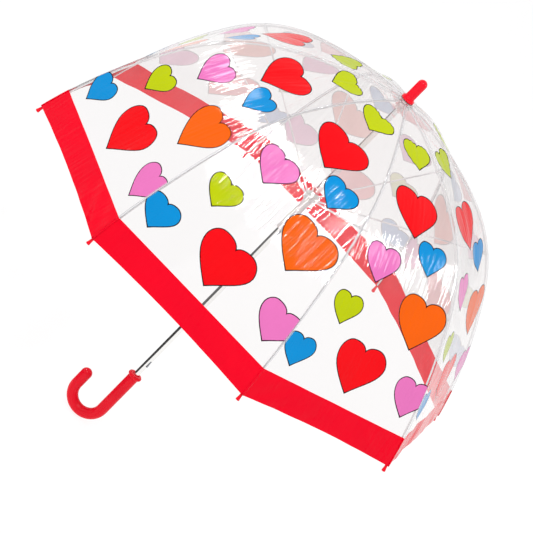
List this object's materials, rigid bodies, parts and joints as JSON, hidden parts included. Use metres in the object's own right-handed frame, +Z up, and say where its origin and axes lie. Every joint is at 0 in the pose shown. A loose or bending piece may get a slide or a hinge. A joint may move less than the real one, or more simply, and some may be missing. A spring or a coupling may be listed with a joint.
{
  "type": "children's dome umbrella",
  "caption": "Children's dome umbrella with clear film panels, printed hearts, a red rim band, jointed ribs, a sliding runner and a red crook handle.",
  "frame": {"origin": "centre of the straight part of the grip, on the shaft's axis", "axes": "+Z up the shaft towards the ferrule, -X towards the crook's short arm, a rib every 45 degrees from 22.5 degrees"},
  "size_m": [0.6454, 0.6454, 0.6773],
  "materials": {
    "shaft_steel": "bright plated steel tube",
    "spring_steel": "bright spring strip",
    "ring_wire": "drawn steel wire",
    "red_grip": "glossy moulded red",
    "red_plastic": "glossy moulded red",
    "white_plastic": "satin moulded white",
    "rib_rod": "white pultruded fibreglass rod",
    "clear_washer": "clear disc",
    "clear_film": "clear soft film with printed hearts",
    "red_film": "printed red band on the same film"
  },
  "bodies": {
    "root": {"shaft": "shaft_steel", "handle": "red_grip", "ferrule": "red_plastic", "crown": "white_plastic", "crown_wire": "ring_wire", "canopy_washer": "clear_washer"},
    "runner": {"runner": "white_plastic", "runner_wire": "ring_wire"},
    "lower_catch": {"lower_catch": "spring_steel"},
    "upper_catch": {"upper_catch": "spring_steel"},
    "rib_upper_1": {"rib_upper_1": "rib_rod", "film_panel_1": "clear_film"},
    "rib_lower_1": {"rib_lower_1": "rib_rod", "tip_cap_1": "red_plastic", "hem_panel_1": "red_film"},
    "stretcher_1": {"stretcher_1": "rib_rod"},
    "rib_upper_2": {"rib_upper_2": "rib_rod", "film_panel_2": "clear_film"},
    "rib_lower_2": {"rib_lower_2": "rib_rod", "tip_cap_2": "red_plastic", "hem_panel_2": "red_film"},
    "stretcher_2": {"stretcher_2": "rib_rod"},
    "rib_upper_3": {"rib_upper_3": "rib_rod", "film_panel_3": "clear_film"},
    "rib_lower_3": {"rib_lower_3": "rib_rod", "tip_cap_3": "red_plastic", "hem_panel_3": "red_film"},
    "stretcher_3": {"stretcher_3": "rib_rod"},
    "rib_upper_4": {"rib_upper_4": "rib_rod", "film_panel_4": "clear_film"},
    "rib_lower_4": {"rib_lower_4": "rib_rod", "tip_cap_4": "red_plastic", "hem_panel_4": "red_film"},
    "stretcher_4": {"stretcher_4": "rib_rod"},
    "rib_upper_5": {"rib_upper_5": "rib_rod", "film_panel_5": "clear_film"},
    "rib_lower_5": {"rib_lower_5": "rib_rod", "tip_cap_5": "red_plastic", "hem_panel_5": "red_film"},
    "stretcher_5": {"stretcher_5": "rib_rod"},
    "rib_upper_6": {"rib_upper_6": "rib_rod", "film_panel_6": "clear_film"},
    "rib_lower_6": {"rib_lower_6": "rib_rod", "tip_cap_6": "red_plastic", "hem_panel_6": "red_film"},
    "stretcher_6": {"stretcher_6": "rib_rod"},
    "rib_upper_7": {"rib_upper_7": "rib_rod", "film_panel_7": "clear_film"},
    "rib_lower_7": {"rib_lower_7": "rib_rod", "tip_cap_7": "red_plastic", "hem_panel_7": "red_film"},
    "stretcher_7": {"stretcher_7": "rib_rod"},
    "rib_upper_8": {"rib_upper_8": "rib_rod", "film_panel_8": "clear_film"},
    "rib_lower_8": {"rib_lower_8": "rib_rod", "tip_cap_8": "red_plastic", "hem_panel_8": "red_film"},
    "stretcher_8": {"stretcher_8": "rib_rod"}
  },
  "joints": [
    {"name": "runner_slide", "type": "slide", "parent": "root", "child": "runner", "axis": [0, 0, -1], "range_m": [0, 0.28988], "deforming": ["film_panel_1", "film_panel_2", "film_panel_3", "film_panel_4", "film_panel_5", "film_panel_6", "film_panel_7", "film_panel_8", "hem_panel_1", "hem_panel_2", "hem_panel_3", "hem_panel_4", "hem_panel_5", "hem_panel_6", "hem_panel_7", "hem_panel_8"]},
    {"name": "lower_catch_press", "type": "slide", "parent": "root", "child": "lower_catch", "axis": [-0.7071, 0.7071, 0], "range_m": [0, 0.0015], "stiffness_N_per_m": 400},
    {"name": "upper_catch_press", "type": "slide", "parent": "root", "child": "upper_catch", "axis": [-0.7071, 0.7071, 0], "range_m": [0, 0.0015], "stiffness_N_per_m": 400},
    {"name": "rib_1_hinge", "type": "hinge", "parent": "root", "child": "rib_upper_1", "pos_m": [0.00739, 0.00306, 0.57], "axis": [-0.3827, 0.9239, 0], "range_deg": [0, 61.5]},
    {"name": "rib_1_knuckle", "type": "hinge", "parent": "rib_upper_1", "child": "rib_lower_1", "pos_m": [0.20968, 0.08685, 0.47921], "axis": [-0.3827, 0.9239, 0], "range_deg": [-38.18, 0]},
    {"name": "stretcher_1_rivet", "type": "hinge", "parent": "rib_upper_1", "child": "stretcher_1", "pos_m": [0.20968, 0.08685, 0.47921], "axis": [-0.3827, 0.9239, 0], "range_deg": [-122.97, 0]},
    {"name": "rib_2_hinge", "type": "hinge", "parent": "root", "child": "rib_upper_2", "pos_m": [0.00306, 0.00739, 0.57], "axis": [-0.9239, 0.3827, 0], "range_deg": [0, 61.5]},
    {"name": "rib_2_knuckle", "type": "hinge", "parent": "rib_upper_2", "child": "rib_lower_2", "pos_m": [0.08685, 0.20968, 0.47921], "axis": [-0.9239, 0.3827, 0], "range_deg": [-38.18, 0]},
    {"name": "stretcher_2_rivet", "type": "hinge", "parent": "rib_upper_2", "child": "stretcher_2", "pos_m": [0.08685, 0.20968, 0.47921], "axis": [-0.9239, 0.3827, 0], "range_deg": [-122.97, 0]},
    {"name": "rib_3_hinge", "type": "hinge", "parent": "root", "child": "rib_upper_3", "pos_m": [-0.00306, 0.00739, 0.57], "axis": [-0.9239, -0.3827, 0], "range_deg": [0, 61.5]},
    {"name": "rib_3_knuckle", "type": "hinge", "parent": "rib_upper_3", "child": "rib_lower_3", "pos_m": [-0.08685, 0.20968, 0.47921], "axis": [-0.9239, -0.3827, 0], "range_deg": [-38.18, 0]},
    {"name": "stretcher_3_rivet", "type": "hinge", "parent": "rib_upper_3", "child": "stretcher_3", "pos_m": [-0.08685, 0.20968, 0.47921], "axis": [-0.9239, -0.3827, 0], "range_deg": [-122.97, 0]},
    {"name": "rib_4_hinge", "type": "hinge", "parent": "root", "child": "rib_upper_4", "pos_m": [-0.00739, 0.00306, 0.57], "axis": [-0.3827, -0.9239, 0], "range_deg": [0, 61.5]},
    {"name": "rib_4_knuckle", "type": "hinge", "parent": "rib_upper_4", "child": "rib_lower_4", "pos_m": [-0.20968, 0.08685, 0.47921], "axis": [-0.3827, -0.9239, 0], "range_deg": [-38.18, 0]},
    {"name": "stretcher_4_rivet", "type": "hinge", "parent": "rib_upper_4", "child": "stretcher_4", "pos_m": [-0.20968, 0.08685, 0.47921], "axis": [-0.3827, -0.9239, 0], "range_deg": [-122.97, 0]},
    {"name": "rib_5_hinge", "type": "hinge", "parent": "root", "child": "rib_upper_5", "pos_m": [-0.00739, -0.00306, 0.57], "axis": [0.3827, -0.9239, 0], "range_deg": [0, 61.5]},
    {"name": "rib_5_knuckle", "type": "hinge", "parent": "rib_upper_5", "child": "rib_lower_5", "pos_m": [-0.20968, -0.08685, 0.47921], "axis": [0.3827, -0.9239, 0], "range_deg": [-38.18, 0]},
    {"name": "stretcher_5_rivet", "type": "hinge", "parent": "rib_upper_5", "child": "stretcher_5", "pos_m": [-0.20968, -0.08685, 0.47921], "axis": [0.3827, -0.9239, 0], "range_deg": [-122.97, 0]},
    {"name": "rib_6_hinge", "type": "hinge", "parent": "root", "child": "rib_upper_6", "pos_m": [-0.00306, -0.00739, 0.57], "axis": [0.9239, -0.3827, 0], "range_deg": [0, 61.5]},
    {"name": "rib_6_knuckle", "type": "hinge", "parent": "rib_upper_6", "child": "rib_lower_6", "pos_m": [-0.08685, -0.20968, 0.47921], "axis": [0.9239, -0.3827, 0], "range_deg": [-38.18, 0]},
    {"name": "stretcher_6_rivet", "type": "hinge", "parent": "rib_upper_6", "child": "stretcher_6", "pos_m": [-0.08685, -0.20968, 0.47921], "axis": [0.9239, -0.3827, 0], "range_deg": [-122.97, 0]},
    {"name": "rib_7_hinge", "type": "hinge", "parent": "root", "child": "rib_upper_7", "pos_m": [0.00306, -0.00739, 0.57], "axis": [0.9239, 0.3827, 0], "range_deg": [0, 61.5]},
    {"name": "rib_7_knuckle", "type": "hinge", "parent": "rib_upper_7", "child": "rib_lower_7", "pos_m": [0.08685, -0.20968, 0.47921], "axis": [0.9239, 0.3827, 0], "range_deg": [-38.18, 0]},
    {"name": "stretcher_7_rivet", "type": "hinge", "parent": "rib_upper_7", "child": "stretcher_7", "pos_m": [0.08685, -0.20968, 0.47921], "axis": [0.9239, 0.3827, 0], "range_deg": [-122.97, 0]},
    {"name": "rib_8_hinge", "type": "hinge", "parent": "root", "child": "rib_upper_8", "pos_m": [0.00739, -0.00306, 0.57], "axis": [0.3827, 0.9239, 0], "range_deg": [0, 61.5]},
    {"name": "rib_8_knuckle", "type": "hinge", "parent": "rib_upper_8", "child": "rib_lower_8", "pos_m": [0.20968, -0.08685, 0.47921], "axis": [0.3827, 0.9239, 0], "range_deg": [-38.18, 0]},
    {"name": "stretcher_8_rivet", "type": "hinge", "parent": "rib_upper_8", "child": "stretcher_8", "pos_m": [0.20968, -0.08685, 0.47921], "axis": [0.3827, 0.9239, 0], "range_deg": [-122.97, 0]}
  ],
  "couplings": [
    {"joint": "rib_1_hinge", "follows": "runner_slide", "rad_per_m": 3.7015},
    {"joint": "rib_1_knuckle", "follows": "runner_slide", "rad_per_m": -2.2978},
    {"joint": "stretcher_1_rivet", "follows": "runner_slide", "rad_per_m": -7.4029},
    {"joint": "rib_2_hinge", "follows": "runner_slide", "rad_per_m": 3.7015},
    {"joint": "rib_2_knuckle", "follows": "runner_slide", "rad_per_m": -2.2978},
    {"joint": "stretcher_2_rivet", "follows": "runner_slide", "rad_per_m": -7.4029},
    {"joint": "rib_3_hinge", "follows": "runner_slide", "rad_per_m": 3.7015},
    {"joint": "rib_3_knuckle", "follows": "runner_slide", "rad_per_m": -2.2978},
    {"joint": "stretcher_3_rivet", "follows": "runner_slide", "rad_per_m": -7.4029},
    {"joint": "rib_4_hinge", "follows": "runner_slide", "rad_per_m": 3.7015},
    {"joint": "rib_4_knuckle", "follows": "runner_slide", "rad_per_m": -2.2978},
    {"joint": "stretcher_4_rivet", "follows": "runner_slide", "rad_per_m": -7.4029},
    {"joint": "rib_5_hinge", "follows": "runner_slide", "rad_per_m": 3.7015},
    {"joint": "rib_5_knuckle", "follows": "runner_slide", "rad_per_m": -2.2978},
    {"joint": "stretcher_5_rivet", "follows": "runner_slide", "rad_per_m": -7.4029},
    {"joint": "rib_6_hinge", "follows": "runner_slide", "rad_per_m": 3.7015},
    {"joint": "rib_6_knuckle", "follows": "runner_slide", "rad_per_m": -2.2978},
    {"joint": "stretcher_6_rivet", "follows": "runner_slide", "rad_per_m": -7.4029},
    {"joint": "rib_7_hinge", "follows": "runner_slide", "rad_per_m": 3.7015},
    {"joint": "rib_7_knuckle", "follows": "runner_slide", "rad_per_m": -2.2978},
    {"joint": "stretcher_7_rivet", "follows": "runner_slide", "rad_per_m": -7.4029},
    {"joint": "rib_8_hinge", "follows": "runner_slide", "rad_per_m": 3.7015},
    {"joint": "rib_8_knuckle", "follows": "runner_slide", "rad_per_m": -2.2978},
    {"joint": "stretcher_8_rivet", "follows": "runner_slide", "rad_per_m": -7.4029}
  ]
}
